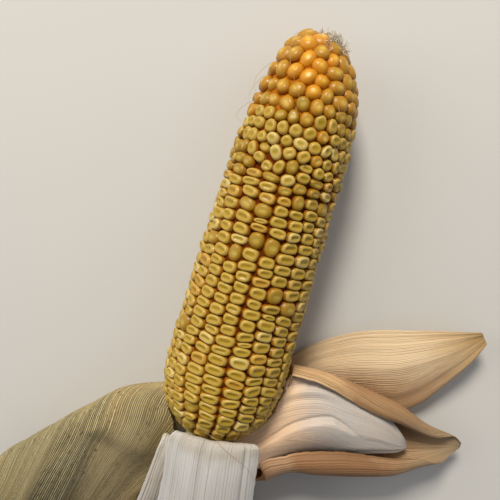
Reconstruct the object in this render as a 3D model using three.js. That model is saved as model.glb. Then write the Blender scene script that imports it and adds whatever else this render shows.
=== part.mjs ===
// A ripe ear of dent maize, cut from its plant with the husks peeled back, lying on its side.
// Millimetres, +Z up. The ear points along +Y, its tip a little lower than its base, and the
// ground that it lies on is level with the lowest points of the ear and of the husks.
// The ear is one solid whose surface has a bump for every kernel. Each husk is a leaf of its
// own that starts on the shank, the short stalk under the ear, and bends away from the ear.
import * as THREE from 'three';
import { mergeVertices } from 'three/addons/utils/BufferGeometryUtils.js';

// Driving dimensions of the ear
const EAR_LENGTH = 180;
const EAR_RADIUS = 27.4; // over the kernels' crowns, at the fattest place
const EAR_BEND = 5.4; // the tip's distance to the side of the axis at the base
const TIP_SLANT = 0.28; // the end's slope, lower on the side that the ear bends to
const EAR_DROP = THREE.MathUtils.degToRad(1.6); // the tip hangs this much below level
const EAR_BASE_HEIGHT = 28.4; // the ear's axis above the ground at the ear's base
const KERNEL_ROWS = 20;
const KERNELS_PER_ROW = 37;
const FURROW_DEPTH = 3.0; // between two rows of kernels
const NOTCH_DEPTH = 1.5; // between two kernels of one row

// Driving dimensions of the shank and the husks
const SHANK_RADIUS = 10; // where it meets the ear
const SHANK_LENGTH = 54;
const SHANK_TAPER = 0.15; // of its radius, lost on the way down to the cut end
const SHANK_NODES = [14, 24, 48]; // below the ear, where the husks leave it
const NODE_SWELL = 0.8;
const GAP = 0.3; // between two pieces that touch
const HUSK_THICKNESS = 2; // about a hundredth of a husk's length
const SEAT = 0.1; // of a husk's length, over which it leaves the shank
const HUSK_CLEARANCE = 0.5; // from a husk's face to the kernels that it lies against

const COLOURS = {
  kernels: 0xcfa63f,
  silk: 0x8a7a66,
  shank: 0xc9c08f,
  palest: 0xded3c6,
  cream: 0xdfc79a,
  tan: 0xcda67a,
  striped: 0x9a8a66,
};

const axisStart = new THREE.Vector3(0, 0, EAR_BASE_HEIGHT);
const axisWay = new THREE.Vector3(0, Math.cos(EAR_DROP), -Math.sin(EAR_DROP));
const sideways = new THREE.Vector3(1, 0, 0);
const upright = new THREE.Vector3().crossVectors(sideways, axisWay);

function material(colour, roughness) {
  return new THREE.MeshStandardMaterial({ color: colour, roughness, metalness: 0 });
}

// A point at a distance along the ear's axis, an angle round it and a radius. The axis bends
// a little to +X towards the tip, where the end of the ear is cut off at a slant.
function roundAxis(along, angle, radius) {
  const f = THREE.MathUtils.clamp(along / EAR_LENGTH, 0, 1);
  const slant = TIP_SLANT * THREE.MathUtils.smoothstep(f, 0.8, 1) * radius * Math.cos(angle);
  return axisStart.clone()
    .addScaledVector(axisWay, along - slant)
    .addScaledVector(sideways, EAR_BEND * f * f + radius * Math.cos(angle))
    .addScaledVector(upright, radius * Math.sin(angle));
}

// The ear's radius over the crowns: a round base, a body with a slight taper, a blunt tip.
function earRadius(along) {
  const f = THREE.MathUtils.clamp(along / EAR_LENGTH, 0, 1);
  const base = 0.42 + 0.58 * (1 - Math.max(0, 1 - f / 0.18) ** 2.2) ** 0.6;
  const body = 1 - 0.2 * Math.max(0, f - 0.2) ** 1.1;
  const tip = (1 - Math.max(0, (f - 0.65) / 0.35) ** 2.6) ** 0.35;
  return EAR_RADIUS * base * body * tip;
}

// The shank's radius at a distance below the ear: it tapers, and swells a little at each node.
function shankRadius(below) {
  const taper = SHANK_RADIUS * (1 - SHANK_TAPER * below / SHANK_LENGTH);
  return SHANK_NODES.reduce((radius, node) => radius + NODE_SWELL * Math.exp(-(((below - node) / 3) ** 2)), taper);
}

// Closes a grid of points into a tube with a fan at each end.
function tubeGeometry(rings, firstPole, lastPole) {
  const wide = rings[0].length;
  const points = rings.flat().concat(firstPole, lastPole);
  const faces = [];
  for (let r = 0; r + 1 < rings.length; r++) {
    for (let c = 0; c < wide; c++) {
      const a = r * wide + c;
      const b = r * wide + (c + 1) % wide;
      faces.push(a, b, b + wide, a, b + wide, a + wide);
    }
  }
  const top = (rings.length - 1) * wide;
  for (let c = 0; c < wide; c++) {
    const next = (c + 1) % wide;
    faces.push(points.length - 2, next, c);
    faces.push(points.length - 1, top + c, top + next);
  }
  return closedGeometry(points, faces);
}

function closedGeometry(points, faces) {
  const geometry = new THREE.BufferGeometry();
  geometry.setAttribute('position', new THREE.Float32BufferAttribute(points.flatMap((p) => p.toArray()), 3));
  geometry.setIndex(faces);
  return mergeVertices(geometry, 1e-5);
}

// The kernels on their cob: two steps round and two steps along for every kernel. A crown
// stands at the middle of each, and neighbouring rows are half a kernel out of step. Kernels
// are a little longer towards the tip.
function earGeometry() {
  const columns = 2 * KERNEL_ROWS;
  const steps = 2 * KERNELS_PER_ROW;
  const rings = [];
  for (let k = 0; k <= steps; k++) {
    const x = k / (steps + 0.6);
    const along = EAR_LENGTH * (0.9 * x + 0.1 * x * x);
    const radius = earRadius(along);
    const relief = Math.min(1, radius / (0.6 * EAR_RADIUS));
    const ring = [];
    for (let c = 0; c < columns; c++) {
      const row = (c - 1) / 2;
      const crown = c % 2 === 1 && (k + row) % 2 === 1;
      const notch = c % 2 === 1 ? NOTCH_DEPTH : FURROW_DEPTH;
      ring.push(roundAxis(along, -2 * Math.PI * c / columns, radius - (crown ? 0 : notch * relief)));
    }
    rings.push(ring);
  }
  return tubeGeometry(rings, roundAxis(0, 0, 0), roundAxis(EAR_LENGTH, 0, 0));
}

// The tuft of dry silk on the slanted end of the ear, on its lower side.
function silkGeometry() {
  const length = 7;
  const radius = 5.5;
  const centre = 4.5; // to the side of the ear's axis
  const around = 10;
  const sections = 5;
  const foot = EAR_LENGTH - 1.5; // clears the slope of the ear's end by the usual gap
  const rings = [];
  for (let k = 1; k < sections; k++) {
    const f = k / sections;
    const swell = radius * Math.sin(Math.PI * (0.3 + 0.7 * f));
    const ring = [];
    for (let c = 0; c < around; c++) {
      const ragged = c % 2 ? 0.75 : 1;
      ring.push(roundAxis(foot + length * f, -2 * Math.PI * c / around, swell * ragged)
        .addScaledVector(sideways, centre));
    }
    rings.push(ring);
  }
  const first = roundAxis(foot, 0, 0).addScaledVector(sideways, centre);
  const last = roundAxis(foot + length, 0, 0).addScaledVector(sideways, centre);
  return tubeGeometry(rings, first, last);
}

// The shank: a short stalk from the ear's base to the flat cut where it was picked.
function shankGeometry() {
  const around = 20;
  const steps = 18;
  const rings = [];
  for (let k = 0; k <= steps; k++) {
    const below = GAP + SHANK_LENGTH * (1 - k / steps);
    const ring = [];
    for (let c = 0; c < around; c++) {
      ring.push(roundAxis(-below, -2 * Math.PI * c / around, shankRadius(below)));
    }
    rings.push(ring);
  }
  return tubeGeometry(rings, roundAxis(-GAP - SHANK_LENGTH, 0, 0), roundAxis(-GAP, 0, 0));
}

// Values between the stations of a husk, by a Catmull-Rom spline through them.
function between(stations, t) {
  const last = stations.length - 1;
  const i = Math.min(Math.floor(t * last), last - 1);
  const f = t * last - i;
  const at = (n) => stations[THREE.MathUtils.clamp(n, 0, last)];
  return stations[0].map((_, v) => {
    const [a, b, c, d] = [at(i - 1)[v], at(i)[v], at(i + 1)[v], at(i + 2)[v]];
    return b + 0.5 * f * (c - a + f * (2 * a - 5 * b + 4 * c - d + f * (3 * (b - c) + d - a)));
  });
}

// Keeps a point of a husk out of the ear, the ground, the shank and the husks that lie inside
// it, which layer counts. seated is 1 where the husk's base clasps the shank, and 0 beyond.
function clearOf(point, layer, seated) {
  const half = HUSK_THICKNESS / 2;
  const offset = point.clone().sub(axisStart);
  const along = offset.dot(axisWay);
  const bend = EAR_BEND * (Math.max(0, along) / EAR_LENGTH) ** 2;
  const radial = offset.addScaledVector(axisWay, -along).addScaledVector(sideways, -bend);
  const distance = radial.length();
  let wanted = distance;
  if (along > -3 && along < EAR_LENGTH) {
    const inside = layer * (HUSK_THICKNESS + 2 * GAP);
    wanted = Math.max(distance, earRadius(along) + HUSK_CLEARANCE + half + inside);
  } else if (along > -SHANK_LENGTH - 3 && along <= -3) {
    const seat = shankRadius(-along) + GAP + half;
    wanted = THREE.MathUtils.lerp(Math.max(distance, seat + HUSK_CLEARANCE), seat, seated);
  }
  point.addScaledVector(radial.normalize(), wanted - distance);
  point.z = Math.max(point.z, half);
  return point;
}

// The way a husk is broad at a point where it runs along way. A husk that is folded back keeps
// to its across, and one that fans out flat keeps its face up.
function broadWay(husk, way) {
  if (!husk.across) return new THREE.Vector3().crossVectors(way, new THREE.Vector3(0, 0, 1)).normalize();
  const across = new THREE.Vector3(...husk.across);
  return across.addScaledVector(way, -way.dot(across)).normalize();
}

// The middle surface of a husk at t along it and u, from -1 to 1, across it. Each station is
// [x, y, z, half width, roll in degrees, curl in degrees]: positive curl bends the margins
// away from the face, and negative curl makes a channel. A large crease puts the curl near the
// margins, and a small one folds the husk along its middle.
function huskPoint(husk, t, u) {
  const [x, y, z, half, roll, curl] = between(husk.stations, t);
  const step = 0.004;
  const before = between(husk.stations, Math.max(0, t - step));
  const after = between(husk.stations, Math.min(1, t + step));
  const way = new THREE.Vector3(after[0] - before[0], after[1] - before[1], after[2] - before[2]).normalize();
  const across = broadWay(husk, way).applyAxisAngle(way, THREE.MathUtils.degToRad(roll));
  const face = new THREE.Vector3().crossVectors(across, way);
  const bend = THREE.MathUtils.degToRad(curl);
  const slices = 12;
  let out = 0;
  let down = 0;
  for (let i = 0; i < slices; i++) {
    const angle = bend * (Math.abs(u) * (i + 0.5) / slices) ** husk.crease;
    out += Math.cos(angle) / slices;
    down += Math.sin(angle) / slices;
  }
  const point = new THREE.Vector3(x, y, z);
  point.addScaledVector(across, half * u * out);
  point.addScaledVector(face, -half * Math.abs(u) * down);
  return clearOf(point, husk.layer ?? 0, 1 - THREE.MathUtils.smoothstep(t, 0, SEAT));
}

// The way out of a husk's face, from the surface a little to each side of the point.
function huskNormal(husk, t, u) {
  const step = 0.02;
  const wideStep = 0.1;
  const further = huskPoint(husk, Math.min(1, t + step), u);
  const right = huskPoint(husk, t, Math.min(1, u + wideStep));
  const along = further.sub(huskPoint(husk, Math.max(0, t - step), u));
  const over = right.sub(huskPoint(husk, t, Math.max(-1, u - wideStep)));
  return over.cross(along).normalize();
}

// A husk as a closed leaf: its middle surface, thickened to both sides.
function huskGeometry(husk) {
  const long = 20;
  const wide = 8;
  const row = wide + 1;
  const top = [];
  const bottom = [];
  for (let i = 0; i <= long; i++) {
    for (let j = 0; j <= wide; j++) {
      const t = i / long;
      const u = 2 * j / wide - 1;
      const point = huskPoint(husk, t, u);
      const normal = huskNormal(husk, t, u);
      top.push(point.clone().addScaledVector(normal, HUSK_THICKNESS / 2));
      bottom.push(point.clone().addScaledVector(normal, -HUSK_THICKNESS / 2));
    }
  }
  const points = top.concat(bottom);
  const under = top.length;
  const faces = [];
  const quad = (a, b, c, d) => faces.push(a, b, c, a, c, d);
  for (let i = 0; i < long; i++) {
    for (let j = 0; j < wide; j++) {
      const a = i * row + j;
      quad(a, a + 1, a + 1 + row, a + row);
      quad(under + a, under + a + row, under + a + 1 + row, under + a + 1);
    }
    const left = i * row;
    const right = left + wide;
    quad(left, left + row, under + left + row, under + left);
    quad(right, under + right, under + right + row, right + row);
  }
  for (let j = 0; j < wide; j++) {
    const end = long * row + j;
    quad(j, under + j, under + j + 1, j + 1);
    quad(end, end + 1, under + end + 1, under + end);
  }
  return closedGeometry(points, faces);
}

// The husks, named by where they lie beside the upturned face of the ear. Stations run from
// the shank to the tip.
const HUSKS = [
  {
    name: 'husk_front', colour: COLOURS.palest, across: [0.98, 0.2, 0], crease: 1,
    stations: [
      [0, -19, 41.5, 8, 0, 40],
      [1, -7, 42.5, 11, 0, 35],
      [2.5, 3, 47.5, 17, 0, 0],
      [3.5, -2, 52, 20.5, 0, -20],
      [6, -24, 51, 21.5, 0, -34],
      [10, -62, 42, 26, 0, -34],
      [13, -104, 20, 22, 0, -22],
      [16, -142, 4, 2, 0, 0],
    ],
  },
  {
    name: 'husk_front_left', colour: COLOURS.cream, across: [0.8, 0, 0.6], crease: 1,
    stations: [
      [-11, -24, 32, 4, 0, 15],
      [-12, -13, 32, 4, 0, 10],
      [-13.5, -6, 33.5, 5.5, 0, 0],
      [-14.5, -10, 37, 6, 0, -10],
      [-16, -28, 36, 6.5, 0, -20],
      [-18, -60, 28, 9, -18, -20],
      [-23, -104, 12, 10, -28, -10],
      [-27, -132, 5.5, 1, -30, 0],
    ],
  },
  {
    name: 'husk_left', colour: COLOURS.striped, across: [0.92, 0.38, 0], crease: 1.2,
    stations: [
      [-13, -26, 21, 6, 0, 0],
      [-21, -16, 13, 10, 0, 0],
      [-29, -2, 9, 14, 0, 0],
      [-34, 5, 16, 17, 0, 0],
      [-34, 0, 25, 18, 0, -30],
      [-38, -25, 29, 28, 8, -54],
      [-53, -58, 25, 41, 8, -40],
      [-68, -97, 13, 35, 4, -24],
      [-80, -134, 2, 2, 0, 0],
    ],
  },
  {
    name: 'husk_right_inner', colour: COLOURS.palest, crease: 1,
    stations: [
      [9.5, -16, 27, 7, 0, 0],
      [20, -5.5, 28.5, 13, 0, 10],
      [33, 4.5, 29, 15.7, -4, 22],
      [47, 12, 28.7, 21.8, 1, 42],
      [62, 15.5, 26, 19.5, 6, 42],
      [77, 16.5, 22, 13, 4, 34],
      [90.5, 14.5, 18, 3, 0, 0],
    ],
  },
  {
    name: 'husk_right_boat', colour: COLOURS.tan, crease: 2.5, layer: 1,
    stations: [
      [10, -21, 20, 8, 0, -20],
      [19, -8, 11, 24, 0, -98],
      [33, 6.5, 7.5, 36.5, 0, -145],
      [49, 12.5, 9, 41, 0, -150],
      [66, 14, 10, 34, 0, -150],
      [84, 14, 11, 24, 0, -140],
      [101, 13, 11, 12, 0, -110],
      [120, 16, 10, 1.5, 0, 0],
    ],
  },
  {
    name: 'husk_right_upper', colour: COLOURS.cream, crease: 0.3, layer: 2,
    stations: [
      [1, -28, 15, 7, 0, -10],
      [15, -11, 5, 12, 0, 0],
      [30, 10, 2.5, 14, 0, 4],
      [45, 27.5, 5.5, 18, 0, 14],
      [63, 38.5, 10.5, 21, 0, 22],
      [82, 48.5, 15, 18.5, 0, 24],
      [99, 61.5, 15, 10.5, 0, 20],
      [112.5, 72.5, 12, 1.5, 0, 0],
    ],
  },
  {
    name: 'husk_back_left', colour: COLOURS.cream, across: [1, 0, 0], crease: 1,
    stations: [
      [-6, -50, 20, 5, 25, -20],
      [-7, -42, 14, 6, 15, -10],
      [-8, -36, 8.5, 8, 8, 0],
      [-9, -42, 3.5, 9, 0, 0],
      [-11, -72, 1.3, 12, 0, 0],
      [-16, -112, 1.3, 15, 0, 0],
      [-19, -150, 1, 2, 0, 0],
    ],
  },
  {
    name: 'husk_back_right', colour: COLOURS.striped, across: [1, 0, 0], crease: 1,
    stations: [
      [6, -50, 20, 5, -25, -20],
      [8, -42, 14, 7, -15, -10],
      [12, -36, 8.5, 9, -8, 0],
      [16, -41, 3.5, 12, 0, 0],
      [24, -68, 1.6, 18, 0, 5],
      [38, -100, 3, 18, 0, 12],
      [50, -134, 1, 2, 0, 0],
    ],
  },
];

const pickedEar = new THREE.Group();

function add(name, geometry, colour, roughness) {
  const mesh = new THREE.Mesh(geometry, material(colour, roughness));
  mesh.name = name;
  pickedEar.add(mesh);
}

add('ear', earGeometry(), COLOURS.kernels, 0.4);
add('silk_tuft', silkGeometry(), COLOURS.silk, 0.9);
add('shank', shankGeometry(), COLOURS.shank, 0.7);
for (const husk of HUSKS) {
  add(husk.name, huskGeometry(husk), husk.colour, 0.75);
}

// The origin is on the ground, under the middle of the whole thing.
const extent = new THREE.Box3().setFromObject(pickedEar);
const middle = extent.getCenter(new THREE.Vector3());
pickedEar.position.set(-middle.x, -middle.y, -extent.min.z);

export default pickedEar;
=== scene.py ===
import math

import bpy
import numpy as np
from mathutils import Matrix, Vector


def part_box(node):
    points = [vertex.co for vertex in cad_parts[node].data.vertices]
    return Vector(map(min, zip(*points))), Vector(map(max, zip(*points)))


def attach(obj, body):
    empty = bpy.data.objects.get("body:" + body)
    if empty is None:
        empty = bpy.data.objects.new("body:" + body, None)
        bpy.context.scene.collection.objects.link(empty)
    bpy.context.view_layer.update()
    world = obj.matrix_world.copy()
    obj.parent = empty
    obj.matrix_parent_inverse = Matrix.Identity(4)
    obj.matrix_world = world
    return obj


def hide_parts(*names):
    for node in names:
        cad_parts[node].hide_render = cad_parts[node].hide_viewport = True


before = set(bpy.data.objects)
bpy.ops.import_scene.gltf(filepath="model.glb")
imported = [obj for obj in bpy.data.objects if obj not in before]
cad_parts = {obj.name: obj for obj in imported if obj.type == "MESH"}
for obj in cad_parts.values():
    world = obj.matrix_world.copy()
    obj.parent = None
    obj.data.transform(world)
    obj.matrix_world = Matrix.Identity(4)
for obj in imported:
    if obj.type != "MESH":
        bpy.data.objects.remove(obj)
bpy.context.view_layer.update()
scene = bpy.context.scene


# The cob, the woody core that the kernels grow on. It is a red-brown spindle that shows only as
# dark lines between the rows, and its colour is darkened past its own red-brown as painted shade
# deep between the kernels. Its surface, and the kernels', follow the ear's own axis, which
# bends a little to the right towards the tip and ends in a slanted dome.
MM = 0.001
TURN = 2 * math.pi
EAR_LENGTH = 180 * MM
EAR_RADIUS = 27.4 * MM  # over the kernels' crowns, at the fattest place
EAR_BEND = 5.4 * MM  # how far the tip is to the right
TIP_SLANT = 0.28
EAR_DROP = math.radians(1.6)  # how much the ear points down
EAR_BASE_HEIGHT = 28.4 * MM
SHANK_RADIUS = 10 * MM
SEAT_GAP = 0.3 * MM  # round the shank, below the ear and inside the husks
COB_DEPTH = 2.6 * MM  # below the crowns
COB_MIN_RADIUS = 2 * MM
COB_RINGS = 90
COB_SIDES = 64
COB_TIP_RING = 66  # from here to the tip the cob is amber
COB_GRAIN = {"roughness": 0.85, "variation": 0.2, "size": 900.0, "relief": 0.3 * MM, "specular": 0.1}

shank_low, shank_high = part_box("shank")
ear_foot = np.array([
    (shank_low.x + shank_high.x) / 2,
    shank_high.y + SEAT_GAP * math.cos(EAR_DROP) - SHANK_RADIUS * math.sin(EAR_DROP),
    EAR_BASE_HEIGHT,
])
ear_way = np.array([0, math.cos(EAR_DROP), -math.sin(EAR_DROP)])
ear_side = np.array([1.0, 0, 0])
ear_up = np.cross(ear_side, ear_way)


def ramp(x, low, high):
    """0 below low, 1 above high, and an S between them."""
    f = np.clip((x - low) / (high - low), 0, 1)
    return f * f * (3 - 2 * f)


def unit(vectors):
    """Vectors scaled to a length of one."""
    return vectors / np.linalg.norm(vectors, axis=-1, keepdims=True)


def ear_radius(along):
    """The radius over the crowns: a round base, a slight taper and a blunt tip."""
    f = np.clip(along / EAR_LENGTH, 0, 1)
    base = 0.42 + 0.58 * (1 - np.maximum(0, 1 - f / 0.18) ** 2.2) ** 0.6
    body = 1 - 0.2 * np.maximum(0, f - 0.2) ** 1.1
    tip = (1 - np.maximum(0, (f - 0.65) / 0.35) ** 2.6) ** 0.35
    return EAR_RADIUS * base * body * tip


def round_axis(along, angle, radius):
    """Points at distances along the ear's bent axis, angles round it and radii."""
    f = np.clip(along / EAR_LENGTH, 0, 1)
    slant = TIP_SLANT * ramp(f, 0.8, 1) * radius * np.cos(angle)
    out = EAR_BEND * f * f + radius * np.cos(angle)
    return (
        ear_foot
        + (along - slant)[..., None] * ear_way
        + out[..., None] * ear_side
        + (radius * np.sin(angle))[..., None] * ear_up
    )


def colour(red, green, blue):
    """A colour given as on a screen, from 0 to 255, as the linear colour that a shader takes."""
    parts = [c / 255 for c in (red, green, blue)]
    return tuple(c / 12.92 if c <= 0.04045 else ((c + 0.055) / 1.055) ** 2.4 for c in parts) + (1.0,)


def new_object(name, data):
    """An object at the origin, put into the scene."""
    made = bpy.data.objects.new(name, data)
    scene.collection.objects.link(made)
    return made


def fill(made, inputs):
    """Sets a node's inputs, by name or number, each to a value, or links it to an output."""
    for socket, value in dict(inputs).items():
        if isinstance(value, bpy.types.NodeSocket):
            made.id_data.links.new(value, made.inputs[socket])
        else:
            made.inputs[socket].default_value = value
    return made


def node(tree, kind, inputs=(), **settings):
    """A new node with its settings made and its inputs filled."""
    made = tree.nodes.new("ShaderNode" + kind)
    for key, value in settings.items():
        setattr(made, key, value)
    return fill(made, inputs)


def new_group(name, inputs):
    """An empty shader node group with named inputs at their usual values, and what they carry."""
    group = bpy.data.node_groups.new(name, "ShaderNodeTree")
    for socket, value in inputs.items():
        kind = "Float" if isinstance(value, float) else "Vector" if len(value) == 3 else "Color"
        made = group.interface.new_socket(socket, in_out="INPUT", socket_type="NodeSocket" + kind)
        made.default_value = value
    return group, group.nodes.new("NodeGroupInput").outputs


def close_group(group, results):
    """Gives a group its outputs, and links each to its result."""
    for socket in results:
        kind = "Color" if socket == "Color" else "Float"
        group.interface.new_socket(socket, in_out="OUTPUT", socket_type="NodeSocket" + kind)
    fill(group.nodes.new("NodeGroupOutput"), results)
    return group


def maths(tree, operation, *inputs, clamp=False):
    """The result of one Math node."""
    return node(tree, "Math", enumerate(inputs), operation=operation, use_clamp=clamp).outputs[0]


def noise(tree, place, scale, detail, roughness):
    """A noise's value at a place, from 0 to 1."""
    inputs = {"Vector": place, "Scale": scale, "Detail": detail, "Roughness": roughness}
    return node(tree, "TexNoise", inputs).outputs["Fac"]


def grain_group():
    """A dry plant surface's fine unevenness: a roughness that varies and a small relief."""
    group, given = new_group(
        "Dry grain", {"Vector": (0, 0, 0), "Size": 500.0, "Roughness": 0.5, "Variation": 0.1}
    )
    uneven = noise(group, given["Vector"], given["Size"], 3.0, 0.6)
    centred = maths(group, "SUBTRACT", uneven, 0.5)
    rough = maths(group, "MULTIPLY_ADD", centred, given["Variation"], given["Roughness"])
    return close_group(group, {"Roughness": rough, "Height": uneven})


dry_grain = grain_group()


def new_material(name, base, glow=0.0, glow_depth=0.0, glow_colour=(1.0, 0.45, 0.15), specular=0.5):
    """A material with its Principled shader, whose base colour is set or linked later."""
    made = bpy.data.materials.new(name)
    made.use_nodes = True
    inputs = {
        "Base Color": base, "Specular IOR Level": specular, "Subsurface Weight": glow,
        "Subsurface Scale": glow_depth, "Subsurface Radius": glow_colour,
    }
    return made, fill(made.node_tree.nodes["Principled BSDF"], inputs)


def feed(tree, shader, look, relief):
    """Links a group's roughness and height to a shader, the height as a relief in metres."""
    bump = node(tree, "Bump", {"Distance": relief, "Strength": 1.0, "Height": look["Height"]})
    fill(shader, {"Roughness": look["Roughness"], "Normal": bump.outputs["Normal"]})


def grained_material(name, base, roughness, variation, size, relief, **more):
    """A plain base colour under a grain that varies the gloss and raises a small relief."""
    made, shader = new_material(name, base, **more)
    tree = made.node_tree
    place = node(tree, "TexCoord").outputs["Object"]
    inputs = {"Vector": place, "Size": size, "Roughness": roughness, "Variation": variation}
    feed(tree, shader, node(tree, "Group", inputs, node_tree=dry_grain).outputs, relief)
    return made


def new_piece(name, points, faces, materials, slots=None, uv=None):
    """A smooth mesh object at the origin, with each face's material and each vertex's uv."""
    mesh = bpy.data.meshes.new(name)
    mesh.from_pydata(np.asarray(points).tolist(), [], faces)
    for made in materials:
        mesh.materials.append(made)
    if slots is not None:
        mesh.polygons.foreach_set("material_index", np.asarray(slots, np.int32))
    if uv is not None:
        corners = np.empty(len(mesh.loops), np.int32)
        mesh.loops.foreach_get("vertex_index", corners)
        layer = mesh.uv_layers.new(name="Fibres")
        layer.data.foreach_set("uv", np.asarray(uv, np.float32)[corners].ravel())
    mesh.polygons.foreach_set("use_smooth", np.ones(len(mesh.polygons), bool))
    mesh.update()
    return new_object(name, mesh)


def tube_faces(rings, around):
    """Quads between closed rings of points, numbered ring by ring."""
    faces = []
    for low in range(0, (rings - 1) * around, around):
        for c in range(around):
            n = (c + 1) % around
            faces.append((low + c, low + n, low + around + n, low + around + c))
    return faces


def solid_of_rings(rings):
    """Points and faces of a closed solid through rings that run anticlockwise about their way."""
    count, around = rings.shape[:2]
    poles = np.array([rings[0].mean(0), rings[-1].mean(0)])
    points = np.concatenate([rings.reshape(-1, 3), poles])
    faces = tube_faces(count, around)
    top = (count - 1) * around
    for c in range(around):
        n = (c + 1) % around
        faces.append((count * around, n, c))
        faces.append((count * around + 1, top + c, top + n))
    return points, faces


# The cob's red-brown is darkened as painted shade, since it shows only deep between the kernels.
cob_material = grained_material("Cob", colour(98, 40, 2), **COB_GRAIN)
cob_tip_material = grained_material("Cob tip", colour(168, 96, 10), **COB_GRAIN)
cob_along = np.linspace(0, EAR_LENGTH - COB_DEPTH, COB_RINGS)[:, None]
cob_angle = -np.linspace(0, TURN, COB_SIDES, endpoint=False)
cob_inner = np.maximum(ear_radius(cob_along) - COB_DEPTH, COB_MIN_RADIUS)
cob_points, cob_faces = solid_of_rings(round_axis(cob_along, cob_angle, cob_inner))
cob_slots = [int(min(face) >= COB_TIP_RING * COB_SIDES) for face in cob_faces]
cob = new_piece("cob", cob_points, cob_faces, [cob_material, cob_tip_material], cob_slots)
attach(cob, "root")


# The kernels, nearly eight hundred dry seeds, most in twenty rows. Each is a wedge with rounded
# corners, a red-brown flank, a paler crown with a rim, and a dent across it where the starch
# shrank. The flank's dark red-brown is partly painted shade deep between the kernels, and the
# paler crown and rim partly a painted highlight. At both ends they are rounder and lie in rings,
# and at the tip they are orange balls, with a painted highlight that pales them towards the top.
ROWS = 20
ROW_START_ANGLE = math.radians(89)  # the widest furrow, which faces the camera
ROWS_FROM = 14 * MM  # along the surface from the base
ROWS_TO = 128 * MM
ROW_PITCH = 4.45 * MM
TIP_SWING = math.radians(13)  # how far the rows turn round the ear at their upper ends
TIP_SWING_RUN = (88 * MM, 140 * MM)  # and between which places
BASE_SWING = math.radians(4)  # and the same at their lower ends
BASE_SWING_RUN = (15 * MM, 45 * MM)
LARGE_SHARE = 0.05  # of large round kernels low in the rows
LARGE_MORE = 0.09  # and more of them above
THIN_SHARE = 0.03
BASE_ARCS = [1.5 * MM, 6.2 * MM, 11.4 * MM]
BASE_SPACING = 7.2 * MM
BASE_LENGTH = 5.6 * MM
BASE_SINK = 0.4 * MM
RING_LEAD = 1.6 * MM  # from the rows to the first ring above them
RING_PITCH = 5.1 * MM
RING_SPACING = 5.7 * MM
TIP_PITCH = 6.2 * MM
TIP_SPACING = 7.1 * MM
TIP_SINK = 1.2 * MM
FRONT_GAP = 1.0 * MM  # between the two rows that face the camera
FURROW_GAP = 0.7 * MM  # between two pairs of rows
ROW_GAP = 0.5 * MM
RIPE_ARC = 174 * MM  # the middle of the orange kernels near the tip
RIPE_ANGLE = math.radians(98)
RIPE_REACH = 12.5 * MM
TUFT_ALONG = 178.5 * MM
TUFT_SIDE = 6.5 * MM
TUFT_ANGLE = math.radians(80)
TUFT_CLEAR = 6 * MM
rng = np.random.default_rng(11)

fine_along = np.linspace(0, EAR_LENGTH, 4000)
fine_radius = ear_radius(fine_along)
fine_arc = np.concatenate([[0], np.cumsum(np.hypot(np.diff(fine_along), np.diff(fine_radius)))])
arc_end = fine_arc[-1]
tuft_place = round_axis(TUFT_ALONG, TUFT_ANGLE, TUFT_SIDE)


def along_at(arc):
    """Distance along the axis for a distance along the ear's surface from its base."""
    return np.interp(arc, fine_arc, fine_along)


def on_ear(arc, angle):
    """A point on the surface over the crowns."""
    along = along_at(arc)
    return round_axis(along, angle, ear_radius(along))


seeds = []
FAMILY, ROW = 7, 10  # the places of these two among a seed's values


def add_seed(arc, angle, width, length, square, dome, dent, family, lift, twist, row=-9):
    """Notes one kernel: its place on the ear and its form. Sizes are over the whole kernel."""
    seeds.append((arc, angle, width, length, square, dome, dent, family, lift, twist, row))


PLAIN, PALE, GOLDEN, ROUND, AMBER, ORANGE = range(6)

# Three rings of broad kernels round the base
phase = 0.0
for arc in BASE_ARCS:
    around = TURN * ear_radius(along_at(arc))
    count = round(around / BASE_SPACING)
    phase += math.pi / count
    for k in range(count):
        angle = phase + TURN * (k + rng.normal(0, 0.06)) / count
        add_seed(
            arc + rng.normal(0, 0.4 * MM), angle, around / count * rng.uniform(0.9, 1.0), BASE_LENGTH,
            2.4, rng.uniform(0.3, 0.6), 0.25, GOLDEN if rng.random() < 0.45 else PLAIN, -BASE_SINK,
            rng.normal(0, 0.1),
        )

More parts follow.
